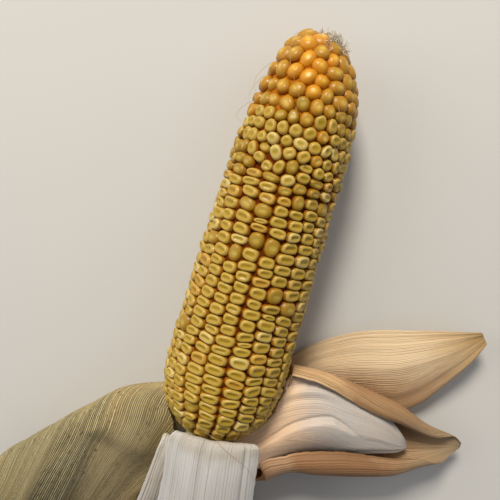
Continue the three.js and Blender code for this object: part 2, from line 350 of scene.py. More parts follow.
# The rows, each with its own pitch, broken here and there by a large round or a thin kernel. They
# swing a little round the ear at both their ends
for row in range(ROWS):
    place = TURN * row / ROWS
    wide = rng.uniform(0.97, 1.03)
    arc = ROWS_FROM + rng.uniform(0, 1) * ROW_PITCH
    while arc < ROWS_TO:
        f = arc / arc_end
        along = along_at(arc)
        pitch = ROW_PITCH * (1 + 0.1 * f) * rng.normal(1, 0.06)
        swing = TIP_SWING * ramp(arc, *TIP_SWING_RUN)
        swing -= BASE_SWING * (1 - ramp(arc, *BASE_SWING_RUN))
        turn = TURN / ROWS
        wander = 0.16 * math.sin(40 * along + 2 * place) + 0.08 * math.sin(95 * along - 3 * place)
        angle = ROW_START_ANGLE + turn * (row + 0.5 + wander) + swing
        width = turn * ear_radius(along) * wide * rng.uniform(0.90, 0.96)
        roundness = ramp(f, 0.52, 0.68)
        chance = rng.random()
        if chance < LARGE_SHARE + LARGE_MORE * ramp(f, 0.2, 0.5):
            pitch *= rng.uniform(1.2, 1.42)
            form = (width * rng.uniform(0.84, 0.97), pitch * 0.97, 2.2, rng.uniform(0.3, 0.6), 0.3)
        elif chance > 1 - THIN_SHARE:
            pitch *= 0.55
            form = (width * 0.75, pitch * 1.05, 2.4, 0.2, 0.35)
        else:
            squareness = 2.9 - 0.6 * roundness + rng.normal(0, 0.15)
            form = (
                width * (1 - 0.12 * roundness * rng.random()),
                pitch * rng.uniform(0.95, 1.0),
                squareness,
                0.08 + 0.5 * roundness * rng.random(),
                rng.uniform(0.5, 1.0) * (1 - 0.4 * roundness),
            )
        draw = rng.random()
        family = PALE if draw < 0.12 else GOLDEN if draw > 0.95 - 0.2 * roundness else PLAIN
        if form[3] > 0.3:
            family = ROUND
        add_seed(
            arc + pitch / 2, angle + rng.normal(0, 0.012), *form, family,
            rng.normal(-0.15, 0.2) * MM, rng.normal(0, 0.09), row,
        )
        arc += pitch

# Rings up to the tip, first of small dented kernels and then of balls, where those round one
# place on the front are orange
ripe_place = on_ear(RIPE_ARC, RIPE_ANGLE)
arc = ROWS_TO + RING_LEAD
while arc < arc_end - 1.5 * MM:
    around = TURN * ear_radius(along_at(arc))
    near = ramp(arc / arc_end, 0.72, 0.86)
    spacing = RING_SPACING + (TIP_SPACING - RING_SPACING) * near
    count = max(1, round(around / spacing))
    phase += math.pi / count
    for k in range(count):
        angle = phase + TURN * (k + rng.normal(0, 0.08)) / count
        at = arc + rng.normal(0, 0.6 * MM)
        if np.linalg.norm(on_ear(at, angle) - tuft_place) < TUFT_CLEAR:
            continue
        size = spacing * rng.uniform(0.92, 1.08)
        dome = min(1, rng.uniform(0.15, 0.58) + 0.8 * near)
        ripe = np.linalg.norm(on_ear(at, angle) - ripe_place) + rng.normal(0, 2.5) * MM
        draw = rng.random()
        if ripe < RIPE_REACH:
            family = ORANGE if draw < 0.75 else AMBER
        elif draw < 0.8 * near + 0.05:
            family = AMBER
        elif dome > 0.5:
            family = ROUND
        else:
            family = PALE if draw > 0.8 else PLAIN
        add_seed(
            at, angle, size * rng.uniform(0.92, 1.1), size * rng.uniform(0.82, 0.98), 2.3 - 0.2 * near,
            dome, rng.uniform(0.3, 0.8) * (1 - 0.5 * near), family,
            rng.normal(0, 0.35) * MM - TIP_SINK * ramp(at, arc_end - 12 * MM, arc_end),
            rng.normal(0, 0.35),
        )
    arc += RING_PITCH + (TIP_PITCH - RING_PITCH) * near

SETTLE_ROUNDS = 160
NEAR_ACROSS = 13 * MM  # two kernels further apart never touch
NEAR_ALONG = 12 * MM
PUSH = 0.3  # the share of an overlap that one round takes away
HOME_PULL = 0.02  # how much of its way home a kernel goes in one round
SHRINK = 0.996
GROW = 1.006


def settled(chosen):
    """Kernels pushed apart where they overlap, and grown into the gaps between them."""
    arc, angle, width, length, square = chosen[:, :5].T.copy()
    row = chosen[:, ROW]
    home = angle.copy()
    first_width, first_length = width.copy(), length.copy()
    radius = ear_radius(along_at(arc))

    def apart(one, two):
        turn = (angle[one] - angle[two] + math.pi) % TURN - math.pi
        return turn * (radius[one] + radius[two]) / 2, arc[one] - arc[two]

    one, two = np.triu_indices(len(arc), 1)
    x, y = apart(one, two)
    near = (np.abs(x) < NEAR_ACROSS) & (np.abs(y) < NEAR_ALONG)
    one, two = one[near], two[near]
    low_row = np.minimum(row[one], row[two])
    high_row = np.maximum(row[one], row[two])
    furrow = (high_row - low_row == 1) & (low_row % 2 == 1) & (low_row >= 0)
    gap = np.where(furrow, FURROW_GAP, ROW_GAP)
    gap = np.where((high_row - low_row == ROWS - 1) & (low_row >= 0), FRONT_GAP, gap)
    power = (square[one] + square[two]) / 2
    for _ in range(SETTLE_ROUNDS):
        x, y = apart(one, two)
        wide = (width[one] + width[two]) / 2 + gap
        tall = (length[one] + length[two]) / 2
        across = (np.abs(x) / wide) ** power
        ahead = (np.abs(y) / tall) ** power
        press = np.maximum(0, 1 - (across + ahead) ** (1 / power))
        share = across / (across + ahead)
        push_x = PUSH * press * wide * share * np.sign(x)
        push_y = PUSH * press * tall * (1 - share) * np.sign(y)
        move_x, move_y, tight_x, tight_y = (np.zeros(len(arc)) for _ in range(4))
        for at, sign in ((one, 1), (two, -1)):
            np.add.at(move_x, at, sign * push_x)
            np.add.at(move_y, at, sign * push_y)
            np.add.at(tight_x, at, press * share)
            np.add.at(tight_y, at, press * (1 - share))
        angle += move_x / radius + HOME_PULL * (home - angle)
        arc = np.clip(arc + move_y, 1 * MM, arc_end - 1 * MM)
        width *= np.where(tight_x > 0.01, SHRINK, GROW)
        length *= np.where(tight_y > 0.01, SHRINK, GROW)
        width = np.clip(width, 0.86 * first_width, 1.12 * first_width)
        length = np.clip(length, 0.85 * first_length, 1.22 * first_length)
    return np.column_stack([arc, angle, width, length, chosen[:, 4:]])


# Rings of one kernel from its sunken foot to its crown. For a dented kernel and for a ball: the
# share of the width, the share of the length, and the height in millimetres
DENTED_RINGS = [
    (1.14, 1.06, -3.6), (1.04, 1.03, -2.1), (0.91, 0.96, -0.95),
    (0.79, 0.82, -0.20), (0.63, 0.54, -0.02), (0.50, 0.25, -0.30),
]
BALL_RINGS = [
    (1.26, 1.26, -4.0), (1.08, 1.08, -2.5), (0.97, 0.97, -1.5),
    (0.76, 0.76, -0.66), (0.52, 0.50, -0.22), (0.28, 0.24, -0.05),
]
ZONE_NAMES = ["flank", "shoulder", "rim", "crown", "dent"]
FLANK, SHOULDER, RIM, CROWN, DENT = range(len(ZONE_NAMES))
RING_ZONES = [FLANK, SHOULDER, RIM, RIM, CROWN]  # between one ring and the next
KERNEL_SIDES = 12
SKEW = 0.07
MOST_SKEW = 0.15
LEAN = 0.09
CROWN_DIP = 0.55  # millimetres, where a dent is deepest
PIT_DEPTH = 0.25  # millimetres without a dent
PIT_MORE = 0.6  # and more with a full one


def kernel_points(chosen):
    """The points of some kernels, kernel by kernel: their rings and the bottom of the dent."""
    columns = (c[:, None, None] for c in chosen.T)
    arc, angle, width, length, square, dome, dent, _, lift, twist, _ = columns
    step = 0.2 * MM
    place = on_ear(arc, angle)[:, 0, 0]
    way = unit((on_ear(arc + step, angle) - on_ear(arc - step, angle))[:, 0, 0])
    outward = unit(np.cross(way, (on_ear(arc, angle + 0.01) - on_ear(arc, angle - 0.01))[:, 0, 0]))
    side = np.cross(outward, way)
    dented, ball = (np.array(form)[None, :, None] for form in (DENTED_RINGS, BALL_RINGS))
    rings = dented * (1 - dome[..., None]) + ball * dome[..., None]
    around = TURN * (np.arange(KERNEL_SIDES) + 0.5) / KERNEL_SIDES
    power = 2 / square
    skew = np.clip(rng.normal(0, SKEW, (2, len(chosen), 1, 1)), -MOST_SKEW, MOST_SKEW)
    x = np.sign(np.cos(around)) * np.abs(np.cos(around)) ** power
    y = np.sign(np.sin(around)) * np.abs(np.sin(around)) ** power
    x, y = x * (1 + skew[0] * y), y * (1 + skew[1] * x)
    x = width / 2 * rings[..., 0] * x
    y = length / 2 * rings[..., 1] * y
    crown = (np.arange(len(DENTED_RINGS)) == len(DENTED_RINGS) - 1)[None, :, None]
    height = (rings[..., 2] - crown * CROWN_DIP * dent * (1 - dome)) * MM + 0 * x
    lean = rng.normal(0, LEAN, (2, len(chosen), 1, 1))
    height = height + lift + lean[0] * x + lean[1] * y - x * x / (2.6 * EAR_RADIUS)
    x, y = x * np.cos(twist) - y * np.sin(twist), x * np.sin(twist) + y * np.cos(twist)
    pit = (-(PIT_DEPTH + PIT_MORE * dent) * (1 - dome) * MM + lift)[:, 0, 0]
    points = (
        place[:, None, None]
        + x[..., None] * side[:, None, None]
        + y[..., None] * way[:, None, None]
        + height[..., None] * outward[:, None, None]
    )
    centres = place + pit[:, None] * outward
    points = np.concatenate([points.reshape(len(chosen), -1, 3), centres[:, None]], axis=1)
    points[..., 2] = np.maximum(points[..., 2], 0)
    return points


def kernels(name, chosen, materials):
    """Some kernels as one piece. Each face takes the material of its kernel's family and zone."""
    points = kernel_points(chosen)
    ringed = len(DENTED_RINGS) * KERNEL_SIDES
    one = tube_faces(len(DENTED_RINGS), KERNEL_SIDES)
    zones = [RING_ZONES[k // KERNEL_SIDES] for k in range(len(one))]
    top = ringed - KERNEL_SIDES
    for c in range(KERNEL_SIDES):
        one.append((top + c, top + (c + 1) % KERNEL_SIDES, ringed))
        zones.append(DENT)
    one.append(tuple(reversed(range(KERNEL_SIDES))))
    zones.append(FLANK)
    faces = [tuple(i + k * (ringed + 1) for i in face) for k in range(len(chosen)) for face in one]
    slots = [int(f) * len(ZONE_NAMES) + zone for f in chosen[:, FAMILY] for zone in zones]
    made = new_piece(name, points.reshape(-1, 3), faces, materials, slots)
    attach(made, "root")
    return made


# Base colours of the families' zones: flank, shoulder, rim, crown and dent. Over the kernels'
# own amber sides and paler crowns, the dark flanks and shoulders are painted shade deep between
# the kernels. On dented kernels the pale rim is partly a painted highlight and the darker dent
# partly painted shade in its hollow. On the round, amber and orange balls the zones grow
# paler towards the top as a painted highlight.
KERNEL_COLOURS = {
    "plain": [(112, 42, 0), (150, 98, 12), (184, 152, 66), (174, 142, 42), (160, 128, 24)],
    "pale": [(118, 48, 2), (160, 116, 36), (200, 174, 100), (184, 156, 66), (166, 138, 48)],
    "golden": [(116, 44, 0), (152, 96, 10), (190, 150, 62), (174, 132, 36), (156, 116, 22)],
    "round": [(116, 50, 0), (148, 98, 12), (160, 122, 30), (168, 134, 42), (182, 156, 68)],
    "amber": [(138, 72, 0), (164, 104, 8), (176, 126, 28), (184, 142, 42), (200, 166, 74)],
    "orange": [(168, 92, 0), (190, 118, 8), (200, 134, 22), (206, 148, 34), (218, 172, 60)],
}
KERNEL_GLOW = {"amber": (0.3, 2 * MM), "orange": (0.3, 2 * MM)}  # how far light passes through
OTHER_GLOW = (0.14, 1 * MM)
GLOW_COLOUR = (1.0, 0.7, 0.2)
KERNEL_GRAIN = {"roughness": 0.36, "variation": 0.25, "size": 700.0, "relief": 0.05 * MM}
kernel_materials = []
for family, tones in KERNEL_COLOURS.items():
    glow, depth = KERNEL_GLOW.get(family, OTHER_GLOW)
    for zone, tone in zip(ZONE_NAMES, tones):
        made = grained_material(
            f"Kernel {family} {zone}", colour(*tone), **KERNEL_GRAIN,
            glow=glow, glow_depth=depth, glow_colour=GLOW_COLOUR, specular=0.4,
        )
        kernel_materials.append(made)
seeds = settled(np.array(seeds))
half_way = np.median(seeds[:, 0])
kernels_lower = kernels("kernels_lower", seeds[seeds[:, 0] <= half_way], kernel_materials)
kernels_upper = kernels("kernels_upper", seeds[seeds[:, 0] > half_way], kernel_materials)
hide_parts("ear")
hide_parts("ear")
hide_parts("ear")


# The husks: dry leaves that grow in a ring from the shank, each a stiff curved sheet half a
# millimetre thick with parallel fibres from its base to its tip. A sheet is given by stations
# along it: x, y, z, half width and curl of the margins, in millimetres and degrees.
HUSK_THICKNESS = 0.5 * MM
SOLID_HALF = 1 * MM  # half the thickness of a husk's solid
HUSK_CLEARANCE = 0.3 * MM
LAYER_STEP = 0.8 * MM  # between husks that lie on each other beside the ear
SEAT = 0.1  # the share of a husk that hugs the shank
CURL_SLICES = 12
RIB_HEIGHT = 0.03 * MM
RIPPLES = 7
TEARS = 14
HUSK_SEED = 20
ALONG_STEPS = 120
SHANK_LENGTH = 54 * MM
SHANK_TAPER = 0.15
SHANK_NODES = [14 * MM, 24 * MM, 48 * MM]
NODE_SWELL = 0.8 * MM
NODE_REACH = 3 * MM
FOOT_REACH = 3 * MM  # how far below its base the ear pushes the husks out
FLOOR_GAP = 0.05 * MM
THINNEST = 0.2 * MM  # where a husk lies on the floor


def bell(x, middle, width):
    """1 in the middle, and falling off smoothly to 0 on both sides."""
    return np.exp(-(((x - middle) / width) ** 2))


def shank_radius(below):
    """The shank's radius at a distance below the ear."""
    radius = SHANK_RADIUS * (1 - SHANK_TAPER * below / SHANK_LENGTH)
    for at in SHANK_NODES:
        radius = radius + NODE_SWELL * bell(below, at, NODE_REACH)
    return radius


def between(stations, t):
    """Values between the stations, by a Catmull-Rom spline through them."""
    last = len(stations) - 1
    i = np.minimum(np.floor(t * last).astype(int), last - 1)
    f = (t * last - i)[..., None]
    a, b, c, d = (stations[np.clip(i + k, 0, last)] for k in (-1, 0, 1, 2))
    return b + 0.5 * f * (c - a + f * (2 * a - 5 * b + 4 * c - d + f * (3 * (b - c) + d - a)))


def clear_of(points, layer, seated):
    """Keeps a husk's middle surface out of the ear, the ground, the shank and the husks inside it."""
    offset = points - ear_foot
    along = offset @ ear_way
    bend = EAR_BEND * (np.maximum(0, along) / EAR_LENGTH) ** 2
    radial = offset - along[..., None] * ear_way - bend[..., None] * ear_side
    distance = np.linalg.norm(radial, axis=-1)
    by_ear = np.maximum(distance, ear_radius(along) + HUSK_CLEARANCE + SOLID_HALF + layer * LAYER_STEP)
    seat = shank_radius(-along) + SEAT_GAP + SOLID_HALF
    by_shank = np.maximum(distance, seat + HUSK_CLEARANCE) * (1 - seated) + seat * seated
    beside_ear = (along > -FOOT_REACH) & (along < EAR_LENGTH)
    beside_shank = (along > -SHANK_LENGTH - FOOT_REACH) & (along <= -FOOT_REACH)
    wanted = np.where(beside_ear, by_ear, distance)
    wanted = np.where(beside_shank, by_shank, wanted)
    points = points + radial / distance[..., None] * (wanted - distance)[..., None]
    points[..., 2] = np.maximum(points[..., 2], SOLID_HALF)
    return points


def husk_surface(stations, t, u, across=None, turn_at=0.0, crease=1.0, left_crease=None, layer=0):
    """The middle surface of a husk at t along it and u, from -1 to 1, across it. A sixth value in
    the stations is their roll. Two more values are the half width and curl of the side with the
    positive u, and another two are the bearings of the cross direction to the left and right of
    turn_at."""
    stations = np.array(stations, float)
    x, y, z, half, curl, *other = np.moveaxis(between(stations, t), -1, 0)
    ends = [between(stations, np.clip(t + side, 0, 1))[..., :3] for side in (-0.004, 0.004)]
    way = unit(ends[1] - ends[0])
    roll = np.radians(other[0] if len(other) == 1 else 0 * t)[..., None]
    if len(other) > 1:
        half = np.where(u < 0, half, other[0])
        curl = np.where(u < 0, curl, other[1])
    crease = np.where(u < 0, left_crease or crease, crease)
    shift = 0
    for i in range(CURL_SLICES):
        part = (i + 0.5) / CURL_SLICES
        if len(other) == 4:
            right = ramp(u * part, turn_at - 0.15, turn_at + 0.15)
            bearing = np.radians(other[2] + (other[3] - other[2]) * right)
            broad = np.stack([np.cos(bearing), np.sin(bearing), 0 * t], -1)
        elif across is None:
            broad = unit(np.cross(way, [0, 0, 1]))
        else:
            broad = unit(np.array(across) - (way @ np.array(across))[..., None] * way)
        broad = broad * np.cos(roll) + np.cross(way, broad) * np.sin(roll)
        face = unit(np.cross(broad, way))
        angle = (np.radians(curl) * (np.abs(u) * part) ** crease)[..., None]
        bent = broad * np.sign(u)[..., None] * np.cos(angle) - face * np.sin(angle)
        shift = shift + bent / CURL_SLICES
    points = np.stack([x, y, z], -1) + shift * (half * np.abs(u))[..., None]
    points = points * MM + ear_foot * [1, 1, 0]
    return clear_of(points, layer, 1 - ramp(t, 0, SEAT))


def waves(t, u, seed, rise):
    """Long soft ripples that run along a husk, stronger towards its margins."""
    draw = np.random.default_rng(seed)
    total = 0
    for _ in range(RIPPLES):
        across = draw.uniform(1.5, 5.5)
        along = draw.uniform(0.5, 2.2)
        phase = across * u * math.pi + along * t * math.pi + draw.uniform(0, 6.3)
        total = total + np.sin(phase) / RIPPLES
    return rise * total * (0.35 + 0.65 * np.abs(u) ** 1.5) * ramp(t, 0.08, 0.3)


def mixed(tree, share, one, two):
    """One colour turned towards another by a share."""
    return node(tree, "Mix", {0: share, 6: one, 7: two}, data_type="RGBA").outputs[2]


def fibres_group():
    """A husk's look on its uv map: veins from base to tip, fine streaks, stains and specks."""
    dry = (0.5, 0.4, 0.3, 1)
    group, given = new_group(
        "Husk fibres",
        {
            "Light": dry, "Fibre": dry, "Stain": dry, "Speck": (0.05, 0.05, 0.05, 1), "Base": dry,
            "Tip": dry, "Base reach": 0.01, "Tip reach": 0.01, "Veins": 30.0, "Vein strength": 0.3,
            "Mottle": 0.0, "Streak strength": 0.5, "Stain amount": 0.3, "Stain size": 3.0,
            "Speck amount": 0.0, "Length": 6.0, "Seed": 0.0, "Roughness": 0.6,
        },
    )
    uv = node(group, "UVMap", uv_map="Fibres").outputs["UV"]
    across, along, _ = node(group, "SeparateXYZ", {0: uv}).outputs

    def times(one, two):
        return maths(group, "MULTIPLY", one, two)

    def less(one, two, clamp=False):
        return maths(group, "SUBTRACT", one, two, clamp=clamp)

    def line(value, slope, start, clamp=False):
        """A value on a straight line, kept from 0 to 1 if it is clamped."""
        return maths(group, "MULTIPLY_ADD", value, slope, start, clamp=clamp)

    def point(x, y, z):
        return node(group, "CombineXYZ", {0: x, 1: y, 2: z}).outputs[0]

    def stretched(per_vein, per_length, detail, roughness=0.6, offset=0.0):
        """A noise on the uv map, in units of a vein across and of the husk's width along."""
        x = times(times(across, given["Veins"]), per_vein)
        y = times(times(along, given["Length"]), per_length)
        place = point(x, y, maths(group, "ADD", given["Seed"], offset))
        return noise(group, place, 1.0, detail, roughness)

    wobble = line(stretched(0.15, 0.5, 1.0, offset=7.0), 1.6, times(across, given["Veins"]))
    wave = maths(group, "COSINE", times(wobble, TURN))
    nearest = maths(group, "ROUND", wobble)
    number = node(group, "TexWhiteNoise", {"W": nearest}, noise_dimensions="1D").outputs["Value"]
    strong = line(maths(group, "POWER", number, 1.5), 0.9, 0.25)
    vein = times(maths(group, "POWER", line(wave, 0.5, 0.5), 2.5), strong)
    broken = line(times(stretched(1.0, 18.0, 2.0, 0.6, 23.0), given["Mottle"]), -1.0, 1.0, True)
    streaks = stretched(1.3, 0.3, 4.0, 0.7)
    fine = stretched(6.0, 0.6, 3.0, 0.6, 3.0)
    broad = stretched(0.12, 0.25, 2.0, 0.5, 11.0)
    streak_mask = times(line(streaks, 3.0, -1.0, True), given["Streak strength"])
    vein_mask = times(times(vein, broken), given["Vein strength"])
    fine_mask = times(line(fine, 2.5, -0.75, True), times(given["Streak strength"], 0.5))
    both = maths(group, "ADD", streak_mask, vein_mask)
    mask = maths(group, "ADD", both, fine_mask, clamp=True)
    place = point(times(across, 2.2), times(along, given["Length"]), given["Seed"])
    blot = noise(group, place, given["Stain size"], 4.0, 0.6)
    stain = times(line(blot, 4.0, -1.7, True), given["Stain amount"])
    stained = mixed(group, stain, given["Light"], given["Stain"])
    from_base = line(less(broad, 0.5), 0.2, along)
    base_share = maths(group, "DIVIDE", from_base, given["Base reach"])
    near_base = times(less(1.0, base_share, True), 0.9)
    tip_share = maths(group, "DIVIDE", less(1.0, from_base), given["Tip reach"])
    based = mixed(group, near_base, stained, given["Base"])
    tipped = mixed(group, less(1.0, tip_share, True), based, given["Tip"])
    toned = mixed(group, mask, tipped, mixed(group, 0.3, given["Fibre"], tipped))
    dots = line(stretched(0.9, 16.0, 3.0, 0.7, 19.0), 7.0, -3.9, True)
    speck = times(times(dots, line(broad, 5.0, -2.1, True)), given["Speck amount"])
    results = {
        "Color": mixed(group, speck, toned, given["Speck"]),
        "Roughness": line(streaks, 0.25, less(given["Roughness"], 0.125)),
        "Height": maths(group, "ADD", times(vein, 0.8), line(streaks, 1.0, times(fine, 0.4))),
    }
    return close_group(group, results)


def patch_group():
    """One broad patch of colour with soft uneven edges, at a place on a husk's uv map. The husks use it
    for stains and for painted shade and painted light.
    """
    white, middle, small = (1, 1, 1, 1), (0.5, 0.5, 0), (0.1, 0.1, 1)
    inputs = {"Color": white, "Patch": white, "Centre": middle, "Size": small, "Amount": 0.7}
    group, given = new_group("Husk patch", inputs)
    uv = node(group, "UVMap", uv_map="Fibres").outputs["UV"]
    offset = node(group, "VectorMath", {0: uv, 1: given["Centre"]}, operation="SUBTRACT").outputs[0]
    scaled = node(group, "VectorMath", {0: offset, 1: given["Size"]}, operation="DIVIDE").outputs[0]
    reach = node(group, "VectorMath", {0: scaled}, operation="LENGTH").outputs["Value"]
    edge = maths(group, "MULTIPLY_ADD", noise(group, uv, 14.0, 4.0, 0.65), 1.2, 0.9)
    soft = maths(group, "MULTIPLY", maths(group, "SUBTRACT", edge, reach), 1.6, clamp=True)
    share = maths(group, "MULTIPLY", soft, given["Amount"])
    return close_group(group, {"Color": mixed(group, share, given["Color"], given["Patch"])})


husk_fibres = fibres_group()
husk_patch = patch_group()


def husk_material(name, light, fibre, stain, relief=0.22 * MM, patches=(), **values):
    """A dry husk. The values are those of the fibres' group, and a patch is its place and size on
    the uv map, its colour and its strength."""
    ground = colour(*light)
    made, shader = new_material(name, ground, 0.12, 1.2 * MM, (1.0, 0.6, 0.35), specular=0.35)
    tree = made.node_tree
    for across, along, half_width, half_length, tone, amount in patches:
        inputs = {
            "Color": ground, "Patch": colour(*tone), "Centre": (across, along, 0),
            "Size": (half_width, half_length, 1), "Amount": amount,
        }
        ground = node(tree, "Group", inputs, node_tree=husk_patch).outputs["Color"]
    inputs = {"Light": ground, "Fibre": colour(*fibre), "Stain": colour(*stain)}
    for key, value in values.items():
        socket = key.replace("_", " ").capitalize()
        inputs[socket] = colour(*value) if isinstance(value, tuple) else value
    look = node(tree, "Group", inputs, node_tree=husk_fibres).outputs
    fill(shader, {"Base Color": look["Color"]})
    feed(tree, shader, look, relief)
    return made


def husk(
    solid, slot, number, ribs, stations, look, ripple=0.5 * MM, ragged=0.03,
    shape=None, drift=None, **form,
):
    """A husk as a thin closed sheet with raised ribs, ripples and slightly torn margins. Look
    holds its material's values, shape raises its surface in places, and drift is how far its
    fibres move across it."""
    wide = 6 * ribs if ribs < 24 else 4 * ribs
    ahead = np.linspace(0, 1, ALONG_STEPS + 1)
    t, u = np.meshgrid(ahead, np.linspace(-1, 1, wide + 1), indexing="ij")
    draw = np.random.default_rng(HUSK_SEED + number)
    tears = np.zeros_like(t)
    for side in (-1, 1):
        edge = np.zeros(ALONG_STEPS + 1)
        for _ in range(TEARS):
            edge += np.sin(draw.uniform(3, 90) * ahead * math.pi + draw.uniform(0, 6.3)) / TEARS
        tears += np.where(u * side > 0, edge[:, None], 0) * ramp(np.abs(u), 0.6, 1)
    spread = u * (1 - ragged * (1 + tears) * ramp(np.abs(u), 0.5, 1))
    middle = husk_surface(stations, t, spread, **form)
    normal = unit(np.cross(np.gradient(middle, axis=1), np.gradient(middle, axis=0)))
    fibre = u + drift(t, u) if drift else u
    lift = waves(t, u, HUSK_SEED + number + 1, ripple)
    if shape:
        lift = lift + shape(t, u)
    rib = RIB_HEIGHT * np.cos(ribs * fibre * math.pi) * ramp(t, 0.02, 0.15)
    middle = middle + normal * (lift + rib)[..., None]
    half = HUSK_THICKNESS / 2 * (1 - 0.6 * np.abs(u) ** 8)[..., None]
    top = middle + normal * half
    under = middle - normal * half
    under[..., 2] = np.maximum(under[..., 2], FLOOR_GAP)
    top[..., 2] = np.maximum(top[..., 2], under[..., 2] + THINNEST)
    points = np.stack([top, under]).reshape(-1, 3)
    grid = np.arange(t.size).reshape(t.shape)
    a, b, c, d = grid[:-1, :-1], grid[:-1, 1:], grid[1:, 1:], grid[1:, :-1]
    low = t.size
    quads = [(a, b, c, d), (a + low, d + low, c + low, b + low)]
    edges = [
        (grid[:-1, 0], grid[1:, 0]), (grid[1:, -1], grid[:-1, -1]),
        (grid[0, 1:], grid[0, :-1]), (grid[-1, :-1], grid[-1, 1:]),
    ]
    for one, two in edges:
        quads.append((one, two, two + low, one + low))
    faces = np.concatenate([np.stack(quad, -1).reshape(-1, 4) for quad in quads]).tolist()
    uv = np.tile(np.stack([(fibre + 1) / 2, t], -1).reshape(-1, 2), (2, 1))
    material = husk_material(solid.replace("_", " ").capitalize(), seed=float(number), **look)
    made = new_piece(solid + "_sheet", points, faces, [material], uv=uv)
    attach(made, "root")
    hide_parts(solid)
    return made


# The front husk is an inner one, grey-white and ribbed. It comes up from the shank, folds over
# in front of the ear's base and lies back towards the cut end.
def front_shape(t, u):
    """Two creases along the folded part, the sharper one near its right margin."""
    groove = bell(u, 0.72, 0.035) + 0.5 * bell(u, -0.1, 0.06)
    return 0.8 * MM * groove * ramp(t, 0.3, 0.42)


front_sheet = husk(
    "husk_front", "husk_pale", 1, 26,
    [
        [0, -19, 41.5, 8, 40, 8, 40, 0, 0],
        [1, -7, 42.5, 11, 35, 11, 35, 0, 4],
        [2, 4.5, 47.5, 16.5, 0, 19.5, 0, -1, 11],
        [2, 0.5, 52, 19, -18, 22.5, -18, -1, 11],
        [4.5, -22, 51, 20.5, -32, 24, -32, 0, 5],
        [10, -62, 42, 26, -34, 26, -34, 0, 0],
        [13, -104, 20, 22, -22, 22, -22, 0, 0],
        [16, -142, 4, 2, 0, 2, 0, 0, 0],
    ],
    dict(
        light=(210, 207, 202), fibre=(176, 168, 156), stain=(196, 180, 166), veins=34.0,
        vein_strength=0.25, streak_strength=0.35, stain_size=2.0, length=5.5,
        # The grey-tan band across the fold's top is painted shade.
        patches=[(0.6, 0.37, 0.5, 0.07, (172, 160, 142), 0.7)],
    ),
    shape=front_shape,
)


# The narrow strip beside it is torn from the same leaf. It is pinkish and folds back the same way.
# It grows from the shank on the ear's left.
husk(
    "husk_front_left", "husk_cream", 2, 9,
    [
        [-11, -24, 32, 4, 15, 0],
        [-12, -13, 32, 4, 10, 0],
        [-13.5, -6, 33.5, 5.5, 0, 0],
        [-14.5, -10, 37, 6, -10, 0],
        [-16, -28, 36, 6.5, -20, 0],
        [-18, -60, 28, 9, -20, -18],
        [-23, -104, 12, 10, -10, -28],
        [-27, -132, 5.5, 1, 0, -30],
    ],
    dict(
        light=(212, 206, 196), fibre=(176, 164, 148), stain=(196, 174, 156), veins=9.0,
        vein_strength=0.35, stain_amount=0.5, stain_size=2.0, length=12.0,
    ),
    ripple=0.3 * MM, across=[0.95, 0, -0.25],
)


# The left husk is an outer leaf, weathered olive and tan with dark mould along its fibres. It
# folds right back, so its outer face shows.
def left_shape(t, u):
    """A buckle: a ridge along the left half, a valley that slants across, and a ridge beyond."""
    beyond = u - 0.21 - 3.5 * np.maximum(0, t - 0.6)
    dip = bell(beyond, 0, np.where(beyond > 0, 0.13, 0.3))
    dip = dip * ramp(t, 0.53, 0.62) * (1 - ramp(t, 0.74, 0.86))
    ridge = bell(u, -0.1, 0.2) + 0.8 * bell(beyond, 0.26, 0.16)
    return (2.8 * dip - 1.6 * ramp(t, 0.5, 0.62) * ridge) * MM


def left_drift(t, u):
    """Beyond the fold the fibres run more to the left than the margins, most on the right."""
    return (0.5 + 1.7 * ramp(u, 0.3, 1.0)) * np.maximum(0, t - 0.47)


husk(
    "husk_left", "husk_striped", 3, 48,
    [
        [-13, -26, 21, 6, 0, 6, 0, 60, 50],
        [-22, -20, 13, 13, 0, 12, 0, 56, 48],
        [-34, -14.5, 9, 26, 0, 26, 0, 52, 40],
        [-48.5, -9.5, 15, 40, 0, 42, 0, 47, 24],
        [-62.5, -11, 26, 47, -4, 47, -4, 44.5, 15],
        [-68, -35, 32, 43, -14, 64, -22, 44.5, 8],
        [-74, -64, 29, 35, -22, 72, -34, 42, 4],
        [-79, -98, 14, 22, -18, 50, -24, 36, 0],
        [-84, -134, 2, 2, 0, 2, 0, 30, 0],
    ],
    dict(
        light=(137, 109, 61), fibre=(255, 240, 184), stain=(76, 57, 31), relief=0.3 * MM, veins=80.0,
        vein_strength=2.0, mottle=0.7, streak_strength=0.15, stain_amount=0.7, stain_size=1.4,
        speck=(28, 20, 14), speck_amount=1.3, length=4.5, roughness=0.72, tip=(90, 72, 44),
        tip_reach=0.3,
        # The first two patches are partly dark mould and partly painted shade in the buckle's hollows,
        # the olive one is a stain, and the last two are partly paler weathering and partly painted
        # light.
        patches=[
            (0.36, 0.62, 0.24, 0.18, (72, 62, 30), 0.7),
            (0.66, 0.72, 0.12, 0.10, (38, 27, 12), 0.95),
            (0.69, 0.555, 0.05, 0.05, (84, 64, 0), 1.0),
            (0.94, 0.69, 0.13, 0.09, (172, 146, 104), 0.7),
            (1.20, 0.80, 0.12, 0.10, (190, 160, 116), 0.8),
        ],
    ),
    ripple=0.7 * MM, shape=left_shape, drift=left_drift, turn_at=0.5, crease=1.2,
)


# The inner husk on the right is thin and almost white. It grows from the shank's right side and
# stands up as a dome beside the ear.
CREASE_AT = [0.1, 0.18, 0.25, 0.31, 0.38, 0.49, 0.55, 0.62]  # along the husk
CREASE_ACROSS = [0.1, 0.1, 0.07, 0.0, -0.05, -0.13, -0.05, 0.14]


def inner_drift(t, u):
    """On the roll the fibres run across it, down from the crease."""
    return -1.6 * t * ramp(u, 0.0, 0.25)


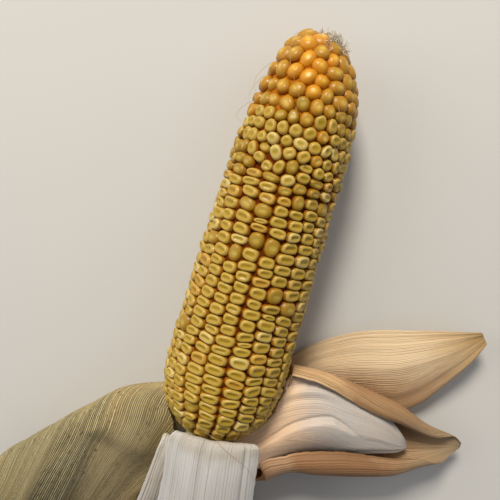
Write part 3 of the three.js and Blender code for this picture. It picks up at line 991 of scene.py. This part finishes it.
def inner_shape(t, u):
    """The lower half is a smooth roll under a crease, and beside the ear there are sharp pleats."""
    below = u - np.interp(t, CREASE_AT, CREASE_ACROSS)
    strength = ramp(t, 0.08, 0.24) * (1 - ramp(t, 0.5, 0.64))
    roll = ramp(below, -0.02, 0.09) * (1 - ramp(below, 0.1, 0.8))
    pleats = np.cos((u + 0.9) * TURN / 0.3) * ramp(t, 0.18, 0.3) * (1 - ramp(t, 0.42, 0.58))
    pleats = pleats * (1 - ramp(u, -0.5, -0.3))
    return (strength * (1.9 * roll - 0.9 * bell(below, -0.035, 0.035)) + 0.6 * pleats) * MM


husk(
    "husk_right_inner", "husk_pale", 4, 24,
    [
        [9.5, -16, 27, 7, 0, 7, 0, -42, -42],
        [20, -3.5, 29, 15.5, 14, 14, 26, -53, -53],
        [33.5, 11, 30.3, 22.6, 28, 21, 44, -60, -61],
        [48, 17.5, 30.6, 24.2, 32, 25, 56, -66, -67],
        [62.5, 17, 29, 21, 28, 17, 48, -73, -73],
        [77, 15.5, 25.5, 15, 24, 10, 38, -78, -78],
        [87.5, 13, 21, 7, 18, 5, 26, -83, -83],
        [92.5, 12, 18, 1, 0, 1, 0, -88, -88],
    ],
    dict(
        light=(203, 195, 186), fibre=(172, 158, 144), stain=(210, 182, 158), relief=0.13 * MM,
        veins=46.0, vein_strength=0.25, streak_strength=0.35, stain_size=1.2, length=4.0, roughness=0.5,
        # The warm tint towards the base is partly the husk's own pinkish base and partly painted light,
        # and the pale patch beside the ear is painted light where the ear's shadow falls.
        base=(250, 196, 148), base_reach=0.5, patches=[(0.2, 0.25, 0.3, 0.1, (255, 222, 182), 1.0)],
    ),
    ripple=0.4 * MM, shape=inner_shape, drift=inner_drift,
)


# The husk under it is tan and boat-shaped. It grows from the shank too, and both its margins roll
# up and in over the white one.
husk(
    "husk_right_boat", "husk_tan", 5, 44,
    [
        [10, -21, 20, 8, -20, 8, -20, -40, -40],
        [18, -9, 11, 25, -106, 38, -212, -50, -53],
        [32, 7, 9, 43.5, -122, 47, -214, -58, -61],
        [49, 12.5, 10, 42.5, -142, 51, -236, -66, -68],
        [66, 14, 10.5, 39, -188, 47, -244, -74, -74],
        [84, 14.5, 12, 34.5, -245, 37, -236, -79, -79],
        [101, 14, 11.5, 19, -245, 20, -205, -85, -85],
        [120, 16, 10, 1.5, 0, 1.5, 0, -90, -90],
    ],
    dict(
        light=(186, 149, 106), fibre=(128, 88, 56), stain=(188, 136, 88), relief=0.3 * MM, veins=70.0,
        vein_strength=0.6, streak_strength=0.7, stain_amount=0.4, stain_size=1.5, length=4.0,
        # The pale tip is partly the husk's own straw colour and partly painted light in the shaded
        # hollow at its end.
        base=(210, 148, 100), base_reach=0.4, tip=(212, 192, 154), tip_reach=0.3,
        # The dark patch on the lower lip is painted shade; the pale patches low on the lip and on the
        # band near the ear are painted light where they lie in shade.
        patches=[
            (0.93, 0.50, 0.12, 0.18, (132, 92, 58), 0.75),
            (0.93, 0.22, 0.14, 0.08, (240, 206, 168), 0.8),
            (0.08, 0.38, 0.14, 0.14, (255, 212, 156), 0.9),
        ],
    ),
    ripple=0.3 * MM, ragged=0.012, crease=1.8, left_crease=2.4, layer=1,
)


# The upper husk on the right is broad, cream and folded along its middle. It grows from under the
# other two.
husk(
    "husk_right_upper", "husk_cream", 6, 30,
    [
        [1, -28, 15, 7, -10, 7, -10],
        [15, -11, 5, 12, 0, 12, 0],
        [27.7, 11.9, 2.5, 11, 4, 17, 4],
        [41.8, 30.4, 6, 13, 14, 23, 14],
        [59.5, 40.9, 11.5, 17, 26, 27, 24],
        [78.8, 48.1, 15.5, 18, 30, 27, 24],
        [98.7, 60.4, 15, 11.5, 24, 14, 18],
        [112.5, 71.5, 12, 2.5, 0, 4, 0],
    ],
    dict(
        light=(240, 214, 174), fibre=(192, 158, 118), stain=(216, 176, 132), relief=0.32 * MM,
        veins=54.0, vein_strength=0.6, streak_strength=0.55, stain_size=1.4, length=5.0, roughness=0.58,
        # The brown patch along the lower flank, below the crease, is painted shade.
        tip=(196, 156, 84), tip_reach=0.22, patches=[(0.97, 0.5, 0.3, 0.34, (182, 138, 96), 0.9)],
    ),
    ripple=1.1 * MM, crease=0.3, layer=2,
)


# Two more husks complete the ring and lie flat on the ground under the shank. They are dry leaves
# like the others, one cream and one grey-brown.
husk(
    "husk_back_left", "husk_cream", 7, 20,
    [
        [-6, -50, 20, 5, -20, 25],
        [-7, -42, 14, 6, -10, 15],
        [-8, -36, 8.5, 8, 0, 8],
        [-9, -42, 3.5, 9, 0, 0],
        [-11, -72, 1.3, 12, 0, 0],
        [-16, -112, 1.3, 15, 0, 0],
        [-19, -150, 1, 2, 0, 0],
    ],
    dict(
        light=(222, 198, 154), fibre=(184, 154, 110), stain=(196, 160, 116), veins=20.0,
        vein_strength=0.4, streak_strength=0.55, stain_amount=0.4, stain_size=1.5,
    ),
    across=[1, 0, 0],
)
husk(
    "husk_back_right", "husk_striped", 8, 26,
    [
        [6, -50, 20, 5, -20, -25],
        [8, -42, 14, 7, -10, -15],
        [12, -36, 8.5, 9, 0, -8],
        [16, -41, 3.5, 12, 0, 0],
        [24, -68, 1.6, 18, 5, 0],
        [38, -100, 3, 18, 12, 0],
        [50, -134, 1, 2, 0, 0],
    ],
    dict(
        light=(164, 148, 112), fibre=(112, 98, 70), stain=(146, 126, 70), relief=0.35 * MM, veins=26.0,
        vein_strength=0.5, streak_strength=0.7, stain_amount=0.6, stain_size=1.6, speck_amount=0.6,
        length=5.0, roughness=0.7,
    ),
    across=[1, 0, 0],
)


# The shank, the stalk that the ear and its husks grew on. It is straw-coloured, ribbed along,
# swollen where each husk leaves it, and cut straight through, so the end shows its pith.
SHANK_RINGS = 80
SHANK_SIDES = 96
SHANK_RIBS = 24
SHANK_RIB_HEIGHT = 0.18 * MM
shank_material = grained_material("Shank", colour(200, 190, 140), 0.65, 0.25, 400.0, 0.2 * MM)
pith_material = grained_material("Shank pith", colour(232, 222, 190), 0.85, 0.2, 1500.0, 0.35 * MM)
shank_below = np.linspace(SHANK_LENGTH + SEAT_GAP, SEAT_GAP, SHANK_RINGS)[:, None]
shank_angle = -np.linspace(0, TURN, SHANK_SIDES, endpoint=False)
shank_wide = shank_radius(shank_below) + SHANK_RIB_HEIGHT * np.cos(SHANK_RIBS * shank_angle)
shank_points, shank_faces = solid_of_rings(round_axis(-shank_below, shank_angle, shank_wide))
cut_middle = SHANK_RINGS * SHANK_SIDES
shank_slots = [int(cut_middle in face) for face in shank_faces]
shank_materials = [shank_material, pith_material]
shank = new_piece("shank_stalk", shank_points, shank_faces, shank_materials, shank_slots)
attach(shank, "root")
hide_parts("shank")


# The silk, the threads that carried the pollen. They have dried to a dense grey-brown tuft of
# tangled hairs on the end of the ear, and a few longer ones cling to the kernels and lie over
# the front husk.
SILK_HAIRS = 620
SILK_RADIUS = 0.14 * MM
SILK_SPREAD = 3.2 * MM
SILK_DOME = 2.8 * MM
SILK_SINK = 1.4 * MM
SILK_REACH = 6.5 * MM
HAIR_SIDES = 3
DARK_SHARE = 0.45
THREAD_RADIUS = 0.1 * MM
THREAD_NEAR = 1.2 * MM  # the highest point of the front husk this near holds the thread up
THREAD_LIFT = 0.15 * MM
SILK_GRAIN = {"variation": 0.2, "size": 800.0, "relief": 0.05 * MM}
SILK_LOOKS = [  # each with its colour, roughness and shine
    ("Silk light", (236, 228, 210), 0.85, 0.2),
    ("Silk dark", (172, 154, 130), 0.85, 0.2),
    ("Silk thread", (186, 152, 108), 0.7, 0.3),
]


def hair_rings(path, radius):
    """Rings round a path of points, for a thin tube."""
    way = unit(np.gradient(path, axis=0))
    side = unit(np.cross(way, ear_up + 0.3 * ear_side))
    over = np.cross(side, way)
    turn = -np.linspace(0, TURN, HAIR_SIDES, endpoint=False)
    size = radius * (1 - 0.6 * np.linspace(0, 1, len(path)))
    return path[:, None] + size[:, None, None] * (
        np.cos(turn)[None, :, None] * side[:, None] + np.sin(turn)[None, :, None] * over[:, None]
    )


def joined(solids):
    """Several closed solids as one list of points and faces."""
    points, faces, start = [], [], 0
    for some, corners in solids:
        points.append(some)
        faces += [tuple(i + start for i in face) for face in corners]
        start += len(some)
    return np.concatenate(points), faces


def smoothed(path, rounds):
    """A path whose inner points have been moved to the mean of themselves and their neighbours."""
    for _ in range(rounds):
        path[1:-1] = (path[:-2] + path[1:-1] + path[2:]) / 3
    return path


def drawn_out(places, count):
    """The values of a row of places, with more places put in between."""
    run = np.linspace(0, len(places) - 1, count)
    return [np.interp(run, range(len(places)), values) for values in zip(*places)]


silk_materials = []
for name, tone, roughness, specular in SILK_LOOKS:
    made = grained_material(name, colour(*tone), roughness, specular=specular, **SILK_GRAIN)
    silk_materials.append(made)
tuft_out = unit(tuft_place - round_axis(TUFT_ALONG - 12 * MM, 0, 0))
hairs = []
tones = []
run = np.linspace(0, 1, 7)[:, None]
for _ in range(SILK_HAIRS):
    spread = rng.normal(0, SILK_SPREAD, 3)
    spread = spread - tuft_out * (spread @ tuft_out)
    far = np.linalg.norm(spread) / SILK_REACH
    height = SILK_DOME * max(0, 1 - far * far) * rng.uniform(0.1, 1) - SILK_SINK
    foot = tuft_place + spread / max(1, far) + tuft_out * height
    aim = unit(tuft_out * rng.uniform(-0.25, 0.4) + rng.normal(0, 0.7, 3))
    swirl = unit(np.cross(aim, rng.normal(0, 1, 3)))
    reach = rng.uniform(1.5, 3.6) * MM
    curl = swirl * reach * rng.uniform(0.3, 0.9) * np.sin(run * rng.uniform(2, 6)) * run
    path = foot + aim * reach * run + curl
    hairs.append(solid_of_rings(hair_rings(path, SILK_RADIUS)))
    tones += [int(rng.random() < DARK_SHARE)] * len(hairs[-1][1])

# The longer threads: places on the ear as arc, angle and height over the crowns, and places over
# the front husk, to the right of the ear's foot and beyond it. All are in millimetres and degrees
STRAY_THREADS = [
    [
        (182, 150, 1.0), (178, 140, 1.6), (173, 134, 0.8), (168, 123, 0.4), (163, 111, 0.5),
        (158, 101, 0.3), (151, 99, 0.3),
    ],
    [
        (168, 168, 0.3), (165, 171, 1.6), (162, 174, 2.6), (159.5, 176, 2.2), (158, 174, 1.0),
        (157, 170, 0.2),
    ],
    [(163, 162, 0.3), (160, 168, 1.4), (157, 173, 2.2), (154, 175, 1.6), (152.5, 171, 0.3)],
    [
        (153, 160, 0.3), (151, 168, 1.8), (148.5, 174, 3.2), (146, 176, 3.6), (144.5, 173, 2.0),
        (144, 168, 0.3),
    ],
    [(160, 60, 0.3), (153, 52, 0.8), (146, 47, 1.0), (139, 50, 0.3)],
]
FRONT_THREAD = [(-5.5, 9.5), (0, 7.4), (5, 6.2), (10.7, 3.1), (16.8, 0.1), (21.5, -3.6), (25, -9)]
FRONT_LOWEST = 48.5 * MM
threads = []
for places in STRAY_THREADS:
    arcs, angles, lifts = drawn_out(places, 9 * len(places))
    surface = on_ear(arcs * MM, np.radians(angles))
    beyond = unit(surface - round_axis(along_at(arcs * MM), 0, 0))
    threads.append(smoothed(surface + beyond * lifts[:, None] * MM, 1))
flat = ear_foot[:2] + np.stack(drawn_out(FRONT_THREAD, 50), 1) * MM
front_points = np.array([v.co for v in front_sheet.data.vertices])
heights = []
for at in flat:
    close = np.hypot(*(front_points[:, :2] - at).T) < THREAD_NEAR
    heights.append(front_points[close, 2].max(initial=FRONT_LOWEST))
threads.append(smoothed(np.column_stack([flat, np.array(heights) + THREAD_LIFT]), 3))
for path in threads:
    hairs.append(solid_of_rings(hair_rings(path, THREAD_RADIUS)))
    tones += [2] * len(hairs[-1][1])
silk = new_piece("silk_hairs", *joined(hairs), silk_materials, tones)
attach(silk, "root")
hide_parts("silk_tuft")


# The floor, the lights and the camera. The camera looks down on the ear as the photograph does.
floor_material = grained_material("Floor", colour(206, 203, 197), 0.8, 0.1, 60.0, 0.02 * MM)
bpy.ops.mesh.primitive_plane_add(size=8)
floor = bpy.context.object
floor.name = "floor"
floor.data.materials.append(floor_material)

world = bpy.data.worlds.new("Studio")
scene.world = world
world.use_nodes = True
fill(world.node_tree.nodes["Background"], {"Color": (0.86, 0.9, 1.0, 1), "Strength": 0.24})


def soft_light(name, place, size, power, tone):
    """A square area light that looks at the ear."""
    data = bpy.data.lights.new(name, "AREA")
    data.size = size
    data.energy = power
    data.color = tone
    made = new_object(name, data)
    made.location = place
    made.rotation_euler = (-Vector(place)).to_track_quat("-Z", "Y").to_euler()


soft_light("key", (-0.5, 1.24, 1.12), 0.45, 28.5, (1.0, 0.95, 0.86))
soft_light("fill", (-1.2, 0.2, 0.7), 1.0, 5.5, (1.0, 0.98, 0.95))
soft_light("bounce", (0.5, 0.55, 0.5), 0.5, 0.9, (1.0, 0.93, 0.84))
scene.view_settings.view_transform = "Standard"

CAMERA_LENS = 43.46  # millimetres, on a sensor 36 mm wide
CAMERA_DISTANCE = 263.8 * MM
CAMERA_LEAN = math.radians(10.4)  # from straight down, towards the tip's side
CAMERA_TURN = math.radians(15.1)  # so that the ear leans to the right
AIM_ALONG = 95 * MM
AIM_RIGHT = 5.81 * MM  # the aim point's place in the picture, from its middle
AIM_ABOVE = 8.44 * MM
across = Vector((1, 0, 0))
back = Vector((0, math.sin(CAMERA_LEAN), math.cos(CAMERA_LEAN)))
level = Vector((0, math.cos(CAMERA_LEAN), -math.sin(CAMERA_LEAN)))
right = across * math.cos(CAMERA_TURN) + level * math.sin(CAMERA_TURN)
above = level * math.cos(CAMERA_TURN) - across * math.sin(CAMERA_TURN)
aim = Vector(ear_foot) + AIM_ALONG * Vector(ear_way)
data = bpy.data.cameras.new("camera")
data.sensor_width = 36
data.lens = CAMERA_LENS
data.clip_start = 0.01
camera = new_object("camera", data)
place = aim + CAMERA_DISTANCE * back - AIM_RIGHT * right - AIM_ABOVE * above
turn = Matrix((right, above, back)).transposed().to_4x4()
camera.matrix_world = Matrix.Translation(place) @ turn
scene.camera = camera
